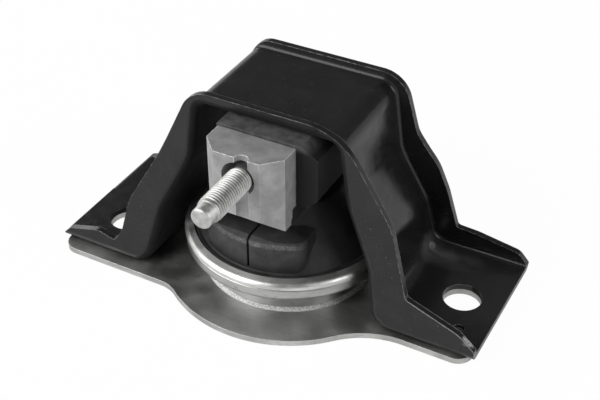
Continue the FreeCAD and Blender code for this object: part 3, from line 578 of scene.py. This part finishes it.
class MOUNT_OT_can(bpy.types.Operator):
    """Finishes the can and adds the staked bead that joins its neck to the base plate."""
    bl_idname = "mount.can"
    bl_label = "Can"

    def execute(self, context):
        finish_nodes(zinc_plated_can(context.scene.mount_finish), "can")
        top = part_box("arch")[0][2] - PLAY              # the plate's face, on which the arch's feet stand
        bead = lathe("neck_bead", bead_rows(top), 720, Matrix.Translation((0, 0, top)), staked_zinc())
        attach(bead, "root")
        return {"FINISHED"}


class MOUNT_OT_core(bpy.types.Operator):
    """Finishes the cast core."""
    bl_idname = "mount.core"
    bl_label = "Core"

    def execute(self, context):
        finish_nodes(cast_aluminium(context.scene.mount_finish), "core")
        return {"FINISHED"}


class MOUNT_OT_rubber(bpy.types.Operator):
    """Finishes the rubber spring and the rubber inside the can, and moulds the stop jacket over the core."""
    bl_idname = "mount.rubber"
    bl_label = "Rubber"

    def execute(self, context):
        finish_nodes(moulded_rubber(context.scene.mount_finish), "rubber_spring", "bellows", "decoupler")
        jacket = jacket_hood(jacket_rubber())
        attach(jacket, "root")
        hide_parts("stop_jacket")
        return {"FINISHED"}


class MOUNT_OT_inner_metal(bpy.types.Operator):
    """Finishes the metal that the can holds."""
    bl_idname = "mount.inner_metal"
    bl_label = "Inner metal"

    def execute(self, context):
        finish_nodes(turned_metal("turned_aluminium", "#c2c2c4"), "track_plate_upper", "track_plate_lower")
        finish_nodes(turned_metal("stamped_steel", "#8c8c8a"), "bond_ring", "bellows_ring", "track_rivets")
        return {"FINISHED"}


class MOUNT_OT_stud(bpy.types.Operator):
    """Builds the stud: rolled thread, dog point and the knurled collar in the core."""
    bl_idname = "mount.stud"
    bl_label = "Stud"

    def execute(self, context):
        size = context.scene.mount_thread
        pin = next(m for m in frame["record"]["mounts"] if m["name"] == "stud")
        # local Z runs along the stud, towards its tip at the front
        turn = Matrix.Translation(pin["pos_m"]) @ Matrix.Rotation(math.radians(90.0), 4, "X")
        crest = pin["dims"]["r_mm"] * MM - 0.01 * MM   # just inside the CAD stud
        obj = lathe("stud_thread", stud_rows(size, pin, crest), size.around, turn,
                    rolled_thread_steel(pin, crest, size.depth))
        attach(obj, "root")
        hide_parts("stud")
        return {"FINISHED"}


# ------------------------------------------------------------------ stage
def bowl(radius, height, material):
    """The floor and the low wall that curves up round it, as one sheet."""
    rows = [(0.0, 0.02), (0.0, radius * 0.5), (0.0, radius * 0.8)]
    rows += [(height * (1.0 - math.cos(a)), radius * (0.8 + 0.2 * math.sin(a)))
             for a in (math.radians(d) for d in range(10, 91, 10))]
    return lathe("floor", rows, 96, Matrix.Identity(4), material, lid=False)


def softbox(name, direction, distance, size, power, aim):
    """A rectangular area lamp at distance from aim, facing it."""
    lamp = bpy.data.lights.new(name, "AREA")
    lamp.shape = "RECTANGLE"
    lamp.size, lamp.size_y = size
    lamp.energy = power
    obj = bpy.data.objects.new(name, lamp)
    place = aim + Vector(direction).normalized() * distance
    obj.location = place
    obj.rotation_euler = (aim - place).to_track_quat("-Z", "Y").to_euler()
    bpy.context.scene.collection.objects.link(obj)


def camera(s):
    """The camera, on its sphere round the point that it looks at."""
    cam = bpy.data.cameras.new("camera")
    cam.lens, cam.sensor_width = s.lens, 36.0
    eye = bpy.data.objects.new("camera", cam)
    flat = math.cos(s.elevation)
    look = Vector((-math.sin(s.azimuth) * flat, math.cos(s.azimuth) * flat, -math.sin(s.elevation)))
    eye.location = Vector(s.aim) - look * s.distance
    eye.rotation_euler = look.to_track_quat("-Z", "Y").to_euler()
    bpy.context.scene.collection.objects.link(eye)
    return eye


class MOUNT_OT_stage(bpy.types.Operator):
    """Sets up the floor, the lamps, the room light and the camera."""
    bl_idname = "mount.stage"
    bl_label = "Stage"

    def execute(self, context):
        scene, s = context.scene, context.scene.mount_stage
        scene.view_settings.view_transform = "Standard"
        floor = bowl(1.6, 0.5, matt_white_board())
        floor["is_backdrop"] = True
        low, high = (Vector(v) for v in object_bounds())
        aim = (low + high) / 2.0
        # name, direction from the mount, distance and size in metres, power
        for lamp in (("key", (-0.60, -0.72, 0.62), 1.1, (1.0, 1.0), s.key),
                     ("fill", (0.95, -0.05, 0.55), 1.1, (0.6, 0.6), s.fill),
                     ("back", (-0.95, 0.35, 0.40), 1.1, (0.8, 0.3), s.back)):
            softbox(*lamp, aim)
        scene.world = bpy.data.worlds.new("room")
        scene.world.use_nodes = True
        room = scene.world.node_tree.nodes["Background"]
        room.inputs["Color"].default_value = linear("#ffffff")
        room.inputs["Strength"].default_value = s.world
        scene.camera = camera(s)
        return {"FINISHED"}


# ------------------------------------------------------------------ add-on
STEPS = (MOUNT_OT_arch, MOUNT_OT_base_plate, MOUNT_OT_can, MOUNT_OT_core, MOUNT_OT_rubber, MOUNT_OT_inner_metal,
         MOUNT_OT_stud, MOUNT_OT_stage)
GROUPS = {"mount_finish": FinishSettings, "mount_thread": ThreadSettings, "mount_stage": StageSettings}


class MOUNT_PT_panel(bpy.types.Panel):
    """Lists the pieces, in the order they are made, and then the settings."""
    bl_idname = "MOUNT_PT_panel"
    bl_label = "Engine mount"
    bl_space_type = "VIEW_3D"
    bl_region_type = "UI"
    bl_category = "Mount"

    def draw(self, context):
        for step in STEPS:
            self.layout.operator(step.bl_idname)
        for group in GROUPS:
            settings = getattr(context.scene, group)
            for name in settings.__annotations__:
                self.layout.prop(settings, name)


def register():
    for name, group in GROUPS.items():
        bpy.utils.register_class(group)
        setattr(bpy.types.Scene, name, PointerProperty(type=group))
    for cls in (*STEPS, MOUNT_PT_panel):
        bpy.utils.register_class(cls)


def unregister():
    for cls in (MOUNT_PT_panel, *reversed(STEPS)):
        bpy.utils.unregister_class(cls)
    for name, group in GROUPS.items():
        delattr(bpy.types.Scene, name)
        bpy.utils.unregister_class(group)


def main():
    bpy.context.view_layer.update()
    register()
    for step in STEPS:
        group, name = step.bl_idname.split(".")
        getattr(getattr(bpy.ops, group), name)()


if __name__ == "__main__":
    main()
